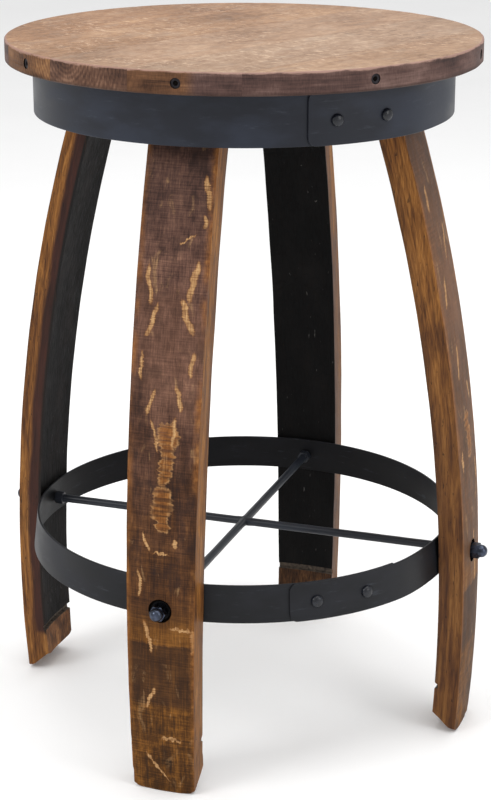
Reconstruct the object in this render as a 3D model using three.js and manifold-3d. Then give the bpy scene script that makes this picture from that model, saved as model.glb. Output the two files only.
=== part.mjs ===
// Bar stool with a footrest: a round board seat on four curved stave legs, steel apron hoop under
// the seat, steel footrest hoop inside the legs, tied by two crossed rods with domed nuts.
// Units are millimetres, +Z is up. The legs stand on the -Y (front), +X, +Y and -X axes.
import * as THREE from 'three';
import { mergeVertices } from 'three/addons/utils/BufferGeometryUtils.js';
import Module from 'manifold-3d';

const wasm = await Module();
wasm.setup();

// ---- driving dimensions ----
const STOOL_HEIGHT = 660;
const GAP = 0.3; // clearance kept between mating faces
const HOLE_CLEARANCE = 0.25; // how much wider a hole's radius is than its screw or rivet

const SEAT_RADIUS = 219;
const SEAT_THICKNESS = 19.7;
const SEAT_EDGE_ROUND = 2.5;
const BOARD_TURN_DEG = -23; // the boards run towards the front left
const BOARD_JOINTS = [-113, -27, 59, 145]; // joint lines, measured across the boards

const EDGE_SCREW_COUNT = 8;
const EDGE_SCREW_START_DEG = 4;
const EDGE_SCREW_LENGTH = 18;
const EDGE_SCREW_HEAD_RADIUS = 4.1;
const EDGE_SCREW_SHANK_RADIUS = 1.8;

const DISC_RADIUS = 191.5;
const DISC_THICKNESS = 18;

const APRON_RADIUS = 194; // outer face of the inner layer
const APRON_BOTTOM = 592.7;
const APRON_TOP = 639.4;
const APRON_LAP_START_DEG = 34.9;
const APRON_RIVETS_DEG = [42.5, 57.2];
const STRIP = 2; // steel thickness

const RAIL_WIDTH = 44;
const RAIL_BOTTOM = 594;

const LEG_REACH = 232; // furthest outer radius of a leg
const LEG_ARC_RADIUS = 1590;
const LEG_ARC_HEIGHT = 120;
const LEG_THICKNESS = 24;
const LEG_WIDTH = 67;
const LEG_END_NARROWING = 7;
const LEG_WIDEST_HEIGHT = 400;
const LEG_CROWN = 1.7; // how much the middle of the outer face stands proud of its edges
const LEG_FOOT_LAND = 5;
const LEG_FOOT_RISE = 16;
const LEG_GROOVE_HEIGHT = 45;
const LEG_GROOVE_WIDTH = 6.5;
const LEG_GROOVE_DEPTH = 4;

const FOOT_HOOP_RADIUS = 205; // outer face at mid height
const FOOT_HOOP_SPREAD = 2.0; // the lower edge is this much wider, the upper edge narrower
const FOOT_HOOP_BOTTOM = 164;
const FOOT_HOOP_TOP = 199;
const FOOT_LAP_START_DEG = 30.4;
const FOOT_RIVETS_DEG = [37.4, 51.5];

const ROD_RADIUS = 4;
const ROD_HEIGHT = 181;
const BORE_RADIUS = 4.4;
const COUNTERBORE_RADIUS = 11;
const COUNTERBORE_DEPTH = 4;
const NUT_FLATS = 13.4;
const NUT_HEX_LENGTH = 9.5;
const DOME_RADIUS = 6;
const DOME_LENGTH = 7.5;
const COLLAR_NUT_FLATS = 11;
const COLLAR_NUT_LENGTH = 8;
const WASHER_RADIUS = 9;
const WASHER_THICKNESS = 1.4;

const RIVET_SHANK_RADIUS = 2.4;
const RIVET_HEAD_RADIUS = 5.6;
const RIVET_HEAD_HEIGHT = 3.8;
const RIVET_TAIL_RADIUS = 4;
const RIVET_TAIL_HEIGHT = 1.6;

const WOOD_SCREW_SHANK = 2.2;
const WOOD_SCREW_HEAD = 4.5;
const WOOD_SCREW_HEAD_HEIGHT = 2.2;

// the steel leans outwards towards its lower edge, and its rivets lean with it
const FOOT_HOOP_TILT = -Math.atan((2 * FOOT_HOOP_SPREAD) / (FOOT_HOOP_TOP - FOOT_HOOP_BOTTOM));

const LAP_ANGLE_DEG = 31;
const LAP_RETURN_DEG = 17;

const rad = THREE.MathUtils.degToRad;
const latheAxis = new THREE.Vector3(0, 1, 0);
const up = new THREE.Vector3(0, 0, 1);
// unit vector pointing outwards at an angle counted from the front (-Y) towards the right (+X)
const outward = (deg) => new THREE.Vector3(Math.sin(rad(deg)), -Math.cos(rad(deg)), 0);

// ---- solids ----
function solidOf(geometry) {
  const bare = geometry.clone();
  bare.deleteAttribute('normal');
  bare.deleteAttribute('uv');
  const merged = mergeVertices(bare, 1e-4);
  return new wasm.Manifold(new wasm.Mesh({
    numProp: 3,
    vertProperties: new Float32Array(merged.attributes.position.array),
    triVerts: new Uint32Array(merged.index.array),
  }));
}

function geometryOf(solid) {
  const mesh = solid.getMesh();
  const geometry = new THREE.BufferGeometry();
  geometry.setAttribute('position', new THREE.BufferAttribute(new Float32Array(mesh.vertProperties), 3));
  geometry.setIndex(new THREE.BufferAttribute(new Uint32Array(mesh.triVerts), 1));
  geometry.computeVertexNormals();
  return geometry;
}

function cut(geometry, tools) {
  let solid = solidOf(geometry);
  for (const tool of tools) solid = solid.subtract(solidOf(tool));
  return geometryOf(solid);
}

// a turned shape about an axis that starts at `base` and points along `direction`;
// the outline is a list of [radius, distance along the axis]
function turned(outline, base, direction, sides = 16) {
  const points = outline.map(([r, h]) => new THREE.Vector2(r, h));
  const geometry = new THREE.LatheGeometry(points, sides);
  geometry.applyQuaternion(new THREE.Quaternion().setFromUnitVectors(latheAxis, direction));
  geometry.translate(base.x, base.y, base.z);
  return geometry;
}

function rod(radius, base, direction, length, sides = 16) {
  return turned([[0, 0], [radius, 0], [radius, length], [0, length]], base, direction, sides);
}

function box(x0, x1, y0, y1, z0, z1) {
  const geometry = new THREE.BoxGeometry(x1 - x0, y1 - y0, z1 - z0);
  geometry.translate((x0 + x1) / 2, (y0 + y1) / 2, (z0 + z1) / 2);
  return geometry;
}

// ---- leg outline ----
const outerRadius = (z) => LEG_REACH - LEG_ARC_RADIUS
  + Math.sqrt(LEG_ARC_RADIUS ** 2 - (z - LEG_ARC_HEIGHT) ** 2);
const innerRadius = (z) => LEG_REACH - LEG_ARC_RADIUS
  + Math.sqrt((LEG_ARC_RADIUS - LEG_THICKNESS) ** 2 - (z - LEG_ARC_HEIGHT) ** 2);
const DISC_BOTTOM = STOOL_HEIGHT - SEAT_THICKNESS - GAP - DISC_THICKNESS;
const LEG_TOP = DISC_BOTTOM - GAP;

function legOutline() {
  const shape = new THREE.Shape();
  const steps = 20;
  shape.moveTo(outerRadius(0), 0);
  for (let i = 1; i <= steps; i += 1) {
    const z = (LEG_TOP * i) / steps;
    shape.lineTo(outerRadius(z), z);
  }
  const grooveTop = LEG_GROOVE_HEIGHT + LEG_GROOVE_WIDTH;
  for (let i = steps; i >= 0; i -= 1) {
    const z = grooveTop + ((LEG_TOP - grooveTop) * i) / steps;
    shape.lineTo(innerRadius(z), z);
  }
  shape.lineTo(innerRadius(grooveTop) + LEG_GROOVE_DEPTH, grooveTop - 1);
  shape.lineTo(innerRadius(LEG_GROOVE_HEIGHT) + LEG_GROOVE_DEPTH, LEG_GROOVE_HEIGHT + 1);
  shape.lineTo(innerRadius(LEG_GROOVE_HEIGHT) + 1, LEG_GROOVE_HEIGHT);
  shape.lineTo(innerRadius(LEG_FOOT_RISE) + 1, LEG_FOOT_RISE);
  shape.lineTo(outerRadius(0) - LEG_FOOT_LAND, 0);
  shape.closePath();
  return shape;
}

// the stave runs along its outline, is crowned across its width and narrows to both ends
function staveGeometry() {
  const settings = { depth: 1, steps: 4, bevelEnabled: false };
  const geometry = new THREE.ExtrudeGeometry(legOutline(), settings);
  const position = geometry.attributes.position;
  for (let i = 0; i < position.count; i += 1) {
    const r = position.getX(i);
    const z = position.getY(i);
    const across = 2 * position.getZ(i) - 1;
    const width = LEG_WIDTH - LEG_END_NARROWING * ((z - LEG_WIDEST_HEIGHT) / LEG_WIDEST_HEIGHT) ** 2;
    position.setXYZ(i, (-across * width) / 2, -(r - LEG_CROWN * across * across), z);
  }
  return geometry;
}

// leg screws are square to the face, two side by side near the top
const LEG_SCREW_HEIGHT = 613;
const LEG_SCREW_OFFSET = 13;
const LEG_SCREW_LENGTH = 40;
const LEG_TILT = Math.asin((LEG_SCREW_HEIGHT - LEG_ARC_HEIGHT) / LEG_ARC_RADIUS);
const legScrewIn = new THREE.Vector3(0, Math.cos(LEG_TILT), -Math.sin(LEG_TILT));
const legScrewSeat = (side) => new THREE.Vector3(
  side * LEG_SCREW_OFFSET,
  -outerRadius(LEG_SCREW_HEIGHT),
  LEG_SCREW_HEIGHT,
);
const turnTo = (geometry, deg) => geometry.rotateZ(rad(deg));

const LEG_NAMES = [['front', 0], ['right', 90], ['back', 180], ['left', 270]];
const front = outward(0);
const inwards = front.clone().negate();
const faceRadius = outerRadius(ROD_HEIGHT); // outer face of a leg at the rods
const pocketRadius = faceRadius - COUNTERBORE_DEPTH; // floor of the counterbore
const at = (r, z) => new THREE.Vector3(0, -r, z);

function legScrewHole(side) {
  const start = legScrewSeat(side).addScaledVector(legScrewIn, -6);
  return rod(WOOD_SCREW_SHANK + HOLE_CLEARANCE, start, legScrewIn, LEG_SCREW_LENGTH + 8);
}

// ---- hoops ----
// A strip whose outer end laps over its inner end, then winds back to the base radius.
// Radii are those of the outer face of the inner layer.
function hoopGeometry(radius, lapStart, bottom, top, spread) {
  const facetDeg = 4;
  const path = []; // [angle, radius of the middle of the strip]
  const lapEnd = lapStart + LAP_ANGLE_DEG;
  const lift = STRIP + GAP;
  const total = 360 + LAP_ANGLE_DEG;
  const count = Math.ceil(total / facetDeg);
  for (let i = 0; i <= count; i += 1) {
    const turn = (total * i) / count;
    const angle = lapStart + turn;
    const past = Math.min(Math.max((angle - lapEnd) / LAP_RETURN_DEG, 0), 1);
    const ease = past * past * (3 - 2 * past);
    path.push([angle, radius - STRIP / 2 + lift * (1 - ease)]);
  }
  const shape = new THREE.Shape();
  const corner = (angle, r) => {
    const v = outward(angle).multiplyScalar(r);
    return [v.x, v.y];
  };
  path.forEach(([angle, r], i) => {
    if (i === 0) shape.moveTo(...corner(angle, r + STRIP / 2));
    else shape.lineTo(...corner(angle, r + STRIP / 2));
  });
  [...path].reverse().forEach(([angle, r]) => shape.lineTo(...corner(angle, r - STRIP / 2)));
  shape.closePath();
  const height = top - bottom;
  const geometry = new THREE.ExtrudeGeometry(shape, { depth: height, steps: 1, bevelEnabled: false });
  geometry.translate(0, 0, bottom);
  const position = geometry.attributes.position;
  for (let i = 0; i < position.count; i += 1) {
    const rise = (position.getZ(i) - bottom) / height;
    const grow = 1 + (spread * (1 - 2 * rise)) / radius;
    position.setX(i, position.getX(i) * grow);
    position.setY(i, position.getY(i) * grow);
  }
  return geometry;
}

// takes the sharp corners off the outer end of the strip
function endCornerCuts(radius, lapStart, bottom, top) {
  const size = 9;
  return [bottom, top].map((z) => {
    const tool = new THREE.BoxGeometry(size, 6, size);
    tool.rotateY(rad(45));
    tool.translate(0, -(radius + GAP + 3), z);
    return turnTo(tool, lapStart);
  });
}

function rivetGeometry(faceOut, faceIn, z, deg, tilt) {
  const length = faceOut - faceIn;
  const start = faceIn - GAP / 2 - RIVET_TAIL_HEIGHT;
  const seat = RIVET_TAIL_HEIGHT + length + GAP;
  const dome = (across, high) => [RIVET_HEAD_RADIUS * across, seat + RIVET_HEAD_HEIGHT * high];
  const outline = [
    [0, 0], [RIVET_TAIL_RADIUS * 0.85, 0], [RIVET_TAIL_RADIUS, 0.6],
    [RIVET_TAIL_RADIUS, RIVET_TAIL_HEIGHT], [RIVET_SHANK_RADIUS, RIVET_TAIL_HEIGHT],
    [RIVET_SHANK_RADIUS, seat], dome(1, 0), dome(0.96, 0.4), dome(0.78, 0.75), dome(0.42, 0.95), dome(0, 1),
  ];
  const geometry = turned(outline, new THREE.Vector3(0, 0, 0), front, 16);
  geometry.translate(0, -start, 0);
  geometry.translate(0, faceOut, 0).rotateX(tilt).translate(0, -faceOut, 0);
  geometry.translate(0, 0, z);
  return turnTo(geometry, deg);
}

function rivetHole(radius, z, deg, tilt) {
  const tool = rod(RIVET_SHANK_RADIUS + HOLE_CLEARANCE, at(-12, 0), front, 24);
  tool.rotateX(tilt).translate(0, -radius, z);
  return turnTo(tool, deg);
}

// ---- seat ----
const boardTurn = rad(BOARD_TURN_DEG);
const across = new THREE.Vector3(Math.cos(boardTurn), Math.sin(boardTurn), 0);
const along = new THREE.Vector3(Math.sin(boardTurn), -Math.cos(boardTurn), 0);
const onBoard = (u, v, z) => new THREE.Vector3()
  .addScaledVector(across, u).addScaledVector(along, v).setZ(z);
const SEAT_BOTTOM = STOOL_HEIGHT - SEAT_THICKNESS;
const EDGE_SCREW_HEIGHT = STOOL_HEIGHT - SEAT_THICKNESS / 2;

// screws from below: where they stand, and how far under the seat their heads sit
const railScrew = (x, y) => ({ x, y, seat: RAIL_BOTTOM });
const discScrew = (u, v) => {
  const p = onBoard(u, v, 0);
  return { x: p.x, y: p.y, seat: DISC_BOTTOM };
};
const SEAT_SCREWS = [
  railScrew(85, 0), railScrew(-85, 0), railScrew(0, 45), railScrew(0, -45),
  discScrew(170, 40), discScrew(170, -40), discScrew(-150, 95), discScrew(-150, -60),
];
const SEAT_SCREW_TOP = STOOL_HEIGHT - 8;

function seatScrew({ x, y, seat }) {
  const base = seat - GAP / 2 - WOOD_SCREW_HEAD_HEIGHT;
  const tip = SEAT_SCREW_TOP - 1;
  return turned([
    [0, 0], [WOOD_SCREW_HEAD * 0.8, 0], [WOOD_SCREW_HEAD, 0.8], [WOOD_SCREW_HEAD, WOOD_SCREW_HEAD_HEIGHT],
    [WOOD_SCREW_SHANK, WOOD_SCREW_HEAD_HEIGHT], [WOOD_SCREW_SHANK, tip - base - 4], [0, tip - base],
  ], new THREE.Vector3(x, y, base), up, 12);
}

const seatScrewHoles = SEAT_SCREWS.map(({ x, y, seat }) => rod(
  WOOD_SCREW_SHANK + HOLE_CLEARANCE,
  new THREE.Vector3(x, y, seat - 3),
  up,
  SEAT_SCREW_TOP - seat + 3,
));

const edgeScrewAngles = Array.from({ length: EDGE_SCREW_COUNT },
  (_, i) => EDGE_SCREW_START_DEG + (360 / EDGE_SCREW_COUNT) * i);
const EDGE_SCREW_SINK = 1; // how far the heads sit below the edge of the seat

function edgeScrew(deg) {
  const slot = 1.8;
  const body = turned([
    [0, 0], [EDGE_SCREW_SHANK_RADIUS, 3], [EDGE_SCREW_SHANK_RADIUS, EDGE_SCREW_LENGTH - 3],
    [EDGE_SCREW_HEAD_RADIUS, EDGE_SCREW_LENGTH - 0.6], [EDGE_SCREW_HEAD_RADIUS, EDGE_SCREW_LENGTH],
    [1.5, EDGE_SCREW_LENGTH], [1.2, EDGE_SCREW_LENGTH - slot], [0, EDGE_SCREW_LENGTH - slot],
  ], at(SEAT_RADIUS - EDGE_SCREW_SINK - EDGE_SCREW_LENGTH, EDGE_SCREW_HEIGHT), front, 12);
  return turnTo(body, deg);
}

function edgeScrewHole(deg) {
  const shank = EDGE_SCREW_SHANK_RADIUS + HOLE_CLEARANCE;
  const head = EDGE_SCREW_HEAD_RADIUS + HOLE_CLEARANCE;
  const end = EDGE_SCREW_LENGTH + EDGE_SCREW_SINK;
  const tool = turned([
    [0, 0], [shank, 0], [shank, end - 3.6], [head, end - 1.4], [head, end + 4], [0, end + 4],
  ], at(SEAT_RADIUS - end - GAP, EDGE_SCREW_HEIGHT), front, 16);
  return turnTo(tool, deg);
}

function seatBoards() {
  const e = SEAT_EDGE_ROUND;
  const profile = [
    [0, 0], [SEAT_RADIUS - 1, 0], [SEAT_RADIUS, 1], [SEAT_RADIUS, SEAT_THICKNESS - e],
    [SEAT_RADIUS - e * 0.3, SEAT_THICKNESS - e * 0.3], [SEAT_RADIUS - e, SEAT_THICKNESS],
    [0, SEAT_THICKNESS],
  ];
  const disc = turned(profile, new THREE.Vector3(0, 0, SEAT_BOTTOM), up, 96);
  const drilled = [...seatScrewHoles, ...edgeScrewAngles.map(edgeScrewHole)]
    .reduce((solid, tool) => solid.subtract(solidOf(tool)), solidOf(disc));
  const limits = [-SEAT_RADIUS - 5, ...BOARD_JOINTS, SEAT_RADIUS + 5];
  return limits.slice(1).map((high, i) => {
    const slab = box(limits[i] + GAP / 2, high - GAP / 2, -300, 300, SEAT_BOTTOM - 5, STOOL_HEIGHT + 5);
    slab.rotateZ(boardTurn);
    return geometryOf(drilled.intersect(solidOf(slab)));
  });
}

// ---- rails under the seat, halved together in the middle ----
function railGeometry(notchAbove) {
  const drop = LEG_CROWN * (RAIL_WIDTH / LEG_WIDTH) ** 2 + GAP + 0.1;
  const low = innerRadius(RAIL_BOTTOM) - drop;
  const high = innerRadius(LEG_TOP) - drop;
  const shape = new THREE.Shape();
  shape.moveTo(-low, RAIL_BOTTOM);
  shape.lineTo(low, RAIL_BOTTOM);
  shape.lineTo(high, LEG_TOP);
  shape.lineTo(-high, LEG_TOP);
  shape.closePath();
  const geometry = new THREE.ExtrudeGeometry(shape, { depth: RAIL_WIDTH, bevelEnabled: false });
  geometry.translate(0, 0, -RAIL_WIDTH / 2);
  geometry.rotateX(Math.PI / 2);
  const middle = (RAIL_BOTTOM + LEG_TOP) / 2;
  const half = RAIL_WIDTH / 2 + GAP;
  const notch = notchAbove
    ? box(-half, half, -half - 5, half + 5, middle - GAP / 2, LEG_TOP + 5)
    : box(-half, half, -half - 5, half + 5, RAIL_BOTTOM - 5, middle + GAP / 2);
  return [geometry, notch];
}

// ---- build ----
const COLORS = {
  seat_wood: 0x8f6a4d, frame_wood: 0xb08d5f, leg_wood: 0x4e2f20, steel: 0x2b2f36, fixing: 0x17181b,
};
const stool = new THREE.Group();
stool.name = 'bar_stool_with_footrest';

function addPart(name, geometry, color, metal = false) {
  const material = new THREE.MeshStandardMaterial({
    color, roughness: metal ? 0.45 : 0.7, metalness: metal ? 0.9 : 0,
  });
  material.name = name;
  const mesh = new THREE.Mesh(geometry, material);
  mesh.name = name;
  stool.add(mesh);
}

seatBoards().forEach((board, i) => addPart(`seat_board_${i + 1}`, board, COLORS.seat_wood));
edgeScrewAngles.forEach((deg, i) => addPart(`edge_screw_${i + 1}`, edgeScrew(deg), COLORS.fixing, true));

const disc = rod(DISC_RADIUS, new THREE.Vector3(0, 0, DISC_BOTTOM), up, DISC_THICKNESS, 80);
addPart('support_disc', cut(disc, seatScrewHoles), COLORS.frame_wood);
SEAT_SCREWS.forEach((screw, i) => addPart(`seat_screw_${i + 1}`, seatScrew(screw), COLORS.fixing, true));

const legScrewHoles = (deg) => [-1, 1].map((side) => turnTo(legScrewHole(side), deg));
const [railAlongX, notchAbove] = railGeometry(true);
addPart('rail_side_to_side',
  cut(railAlongX, [notchAbove, ...seatScrewHoles, ...legScrewHoles(90), ...legScrewHoles(270)]),
  COLORS.frame_wood);
const [railAlongY, notchBelow] = railGeometry(false);
railAlongY.rotateZ(Math.PI / 2);
addPart('rail_front_to_back',
  cut(railAlongY, [notchBelow, ...seatScrewHoles, ...legScrewHoles(0), ...legScrewHoles(180)]),
  COLORS.frame_wood);

const APRON_RIVET_HEIGHT = (APRON_BOTTOM + APRON_TOP) / 2 - 2;
addPart('apron_hoop', cut(
  hoopGeometry(APRON_RADIUS, APRON_LAP_START_DEG, APRON_BOTTOM, APRON_TOP, 0),
  [...endCornerCuts(APRON_RADIUS, APRON_LAP_START_DEG, APRON_BOTTOM, APRON_TOP),
    ...APRON_RIVETS_DEG.map((deg) => rivetHole(APRON_RADIUS, APRON_RIVET_HEIGHT, deg, 0))],
), COLORS.steel, true);
APRON_RIVETS_DEG.forEach((deg, i) => addPart(`apron_rivet_${i + 1}`, rivetGeometry(
  APRON_RADIUS + GAP + STRIP, APRON_RADIUS - STRIP, APRON_RIVET_HEIGHT, deg, 0), COLORS.steel, true));

const washerSeat = pocketRadius + GAP / 2;
const nutSeat = washerSeat + WASHER_THICKNESS + GAP / 2;
const rodEnd = nutSeat + NUT_HEX_LENGTH + 2;

LEG_NAMES.forEach(([name, deg]) => {
  const bore = rod(BORE_RADIUS, at(innerRadius(ROD_HEIGHT) - 20, ROD_HEIGHT), front, 60);
  const pocket = rod(COUNTERBORE_RADIUS, at(pocketRadius, ROD_HEIGHT), front, 30, 32);
  const leg = cut(staveGeometry(), [bore, pocket, ...legScrewHoles(0)]);
  addPart(`leg_${name}`, turnTo(leg, deg), COLORS.leg_wood);
  [-1, 1].forEach((side) => {
    const base = legScrewSeat(side).addScaledVector(legScrewIn, LEG_SCREW_LENGTH);
    const crownClear = LEG_CROWN * 0.1;
    const head = LEG_SCREW_LENGTH + crownClear + GAP;
    const screw = turned([
      [0, 0], [WOOD_SCREW_SHANK, 4], [WOOD_SCREW_SHANK, head], [WOOD_SCREW_HEAD, head],
      [WOOD_SCREW_HEAD, head + 1.2], [WOOD_SCREW_HEAD * 0.8, head + WOOD_SCREW_HEAD_HEIGHT],
      [0, head + WOOD_SCREW_HEAD_HEIGHT],
    ], base, legScrewIn.clone().negate(), 12);
    addPart(`leg_screw_${name}_${side < 0 ? 'a' : 'b'}`, turnTo(screw, deg), COLORS.fixing, true);
  });
});

const hoopMid = (FOOT_HOOP_BOTTOM + FOOT_HOOP_TOP) / 2;
const lapFace = FOOT_HOOP_RADIUS + GAP + STRIP; // outer face of the lap at mid height
const hoopHoles = LEG_NAMES.map(([, deg]) => turnTo(
  rod(BORE_RADIUS, at(FOOT_HOOP_RADIUS - 12, ROD_HEIGHT), front, 24), deg));
addPart('footrest_hoop', cut(
  hoopGeometry(FOOT_HOOP_RADIUS, FOOT_LAP_START_DEG, FOOT_HOOP_BOTTOM, FOOT_HOOP_TOP, FOOT_HOOP_SPREAD),
  [...endCornerCuts(FOOT_HOOP_RADIUS, FOOT_LAP_START_DEG, FOOT_HOOP_BOTTOM, FOOT_HOOP_TOP), ...hoopHoles,
    ...FOOT_RIVETS_DEG.map((deg) => rivetHole(lapFace, hoopMid, deg, FOOT_HOOP_TILT))],
), COLORS.steel, true);
FOOT_RIVETS_DEG.forEach((deg, i) => addPart(`footrest_rivet_${i + 1}`, rivetGeometry(
  lapFace + 0.1, FOOT_HOOP_RADIUS - STRIP - 0.1, hoopMid, deg, FOOT_HOOP_TILT,
), COLORS.steel, true));

// the two rods are halved over each other where they cross
function crossRod(deg, notchAboveRod) {
  const body = turnTo(rod(ROD_RADIUS, at(rodEnd, ROD_HEIGHT), inwards, 2 * rodEnd, 16), deg);
  const half = ROD_RADIUS + 0.2;
  const notch = notchAboveRod
    ? box(-half, half, -half, half, ROD_HEIGHT - GAP / 2, ROD_HEIGHT + 10)
    : box(-half, half, -half, half, ROD_HEIGHT - 10, ROD_HEIGHT + GAP / 2);
  return cut(body, [notch]);
}
addPart('cross_rod_side_to_side', crossRod(90, true), COLORS.steel, true);
addPart('cross_rod_front_to_back', crossRod(0, false), COLORS.steel, true);

const hexPrism = (flats, base, length) => rod(flats / Math.sqrt(3), base, front, length, 6);
const threadBore = (base, length) => rod(ROD_RADIUS + 0.3, base, front, length, 16);

LEG_NAMES.forEach(([name, deg]) => {
  const washer = cut(rod(WASHER_RADIUS, at(washerSeat, ROD_HEIGHT), front, WASHER_THICKNESS, 24),
    [threadBore(at(washerSeat - 2, ROD_HEIGHT), 6)]);
  addPart(`washer_${name}`, turnTo(washer, deg), COLORS.fixing, true);

  const hex = solidOf(hexPrism(NUT_FLATS, at(nutSeat, ROD_HEIGHT), NUT_HEX_LENGTH));
  const dome = solidOf(turned([
    [0, 0], [DOME_RADIUS, 0], [DOME_RADIUS, 2.2], [DOME_RADIUS * 0.93, 4], [DOME_RADIUS * 0.72, 5.8],
    [DOME_RADIUS * 0.4, 7], [0, DOME_LENGTH],
  ], at(nutSeat + NUT_HEX_LENGTH - 0.5, ROD_HEIGHT), front, 20));
  const socket = solidOf(threadBore(at(nutSeat - 2, ROD_HEIGHT), NUT_HEX_LENGTH + 4.6));
  addPart(`dome_nut_${name}`, turnTo(geometryOf(hex.add(dome).subtract(socket)), deg), COLORS.fixing, true);

  const collarEnd = FOOT_HOOP_RADIUS - STRIP - 0.9;
  const collarBase = collarEnd - COLLAR_NUT_LENGTH;
  const collar = cut(hexPrism(COLLAR_NUT_FLATS, at(collarBase, ROD_HEIGHT), COLLAR_NUT_LENGTH),
    [threadBore(at(collarBase - 2, ROD_HEIGHT), COLLAR_NUT_LENGTH + 4)]);
  addPart(`inner_nut_${name}`, turnTo(collar, deg), COLORS.fixing, true);
});

export default stool;
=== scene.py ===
import math
import random
from collections import namedtuple

import bmesh
import bpy
from mathutils import Matrix, Vector, noise


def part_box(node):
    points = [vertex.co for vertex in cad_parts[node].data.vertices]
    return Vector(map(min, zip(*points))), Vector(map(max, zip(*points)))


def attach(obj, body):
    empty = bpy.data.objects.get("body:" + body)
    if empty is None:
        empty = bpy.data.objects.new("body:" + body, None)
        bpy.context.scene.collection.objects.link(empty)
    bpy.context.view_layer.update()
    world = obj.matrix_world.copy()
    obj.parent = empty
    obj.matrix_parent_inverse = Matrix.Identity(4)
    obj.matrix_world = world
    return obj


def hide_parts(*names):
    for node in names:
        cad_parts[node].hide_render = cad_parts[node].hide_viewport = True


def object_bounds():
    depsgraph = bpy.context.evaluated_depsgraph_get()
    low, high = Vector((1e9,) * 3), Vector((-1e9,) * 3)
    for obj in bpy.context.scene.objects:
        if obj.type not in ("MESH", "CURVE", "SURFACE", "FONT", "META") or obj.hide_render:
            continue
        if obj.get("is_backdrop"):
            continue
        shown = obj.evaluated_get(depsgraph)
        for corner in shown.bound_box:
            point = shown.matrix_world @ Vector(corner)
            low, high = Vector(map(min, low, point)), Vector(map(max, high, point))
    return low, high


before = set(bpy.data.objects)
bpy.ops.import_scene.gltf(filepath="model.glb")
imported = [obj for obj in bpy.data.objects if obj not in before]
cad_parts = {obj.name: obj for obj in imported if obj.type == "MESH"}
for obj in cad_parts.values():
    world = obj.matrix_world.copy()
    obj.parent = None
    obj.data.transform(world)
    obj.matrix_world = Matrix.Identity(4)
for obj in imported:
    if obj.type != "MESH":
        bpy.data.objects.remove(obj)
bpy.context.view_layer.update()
MM = 0.001


# ---------------------------------------------------------------- colours and node helpers
def srgb(r, g, b):
    """An everyday 0-255 colour as the linear colour a node wants."""
    def lin(c):
        c /= 255.0
        return c / 12.92 if c <= 0.04045 else ((c + 0.055) / 1.055) ** 2.4
    return (lin(r), lin(g), lin(b), 1.0)


def tinted(tint, *stops):
    """Ramp stops from (place, colour) pairs, with each colour's channels multiplied by tint's."""
    return [(at, srgb(*(c * t for c, t in zip(color, tint)))) for at, color in stops]


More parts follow.
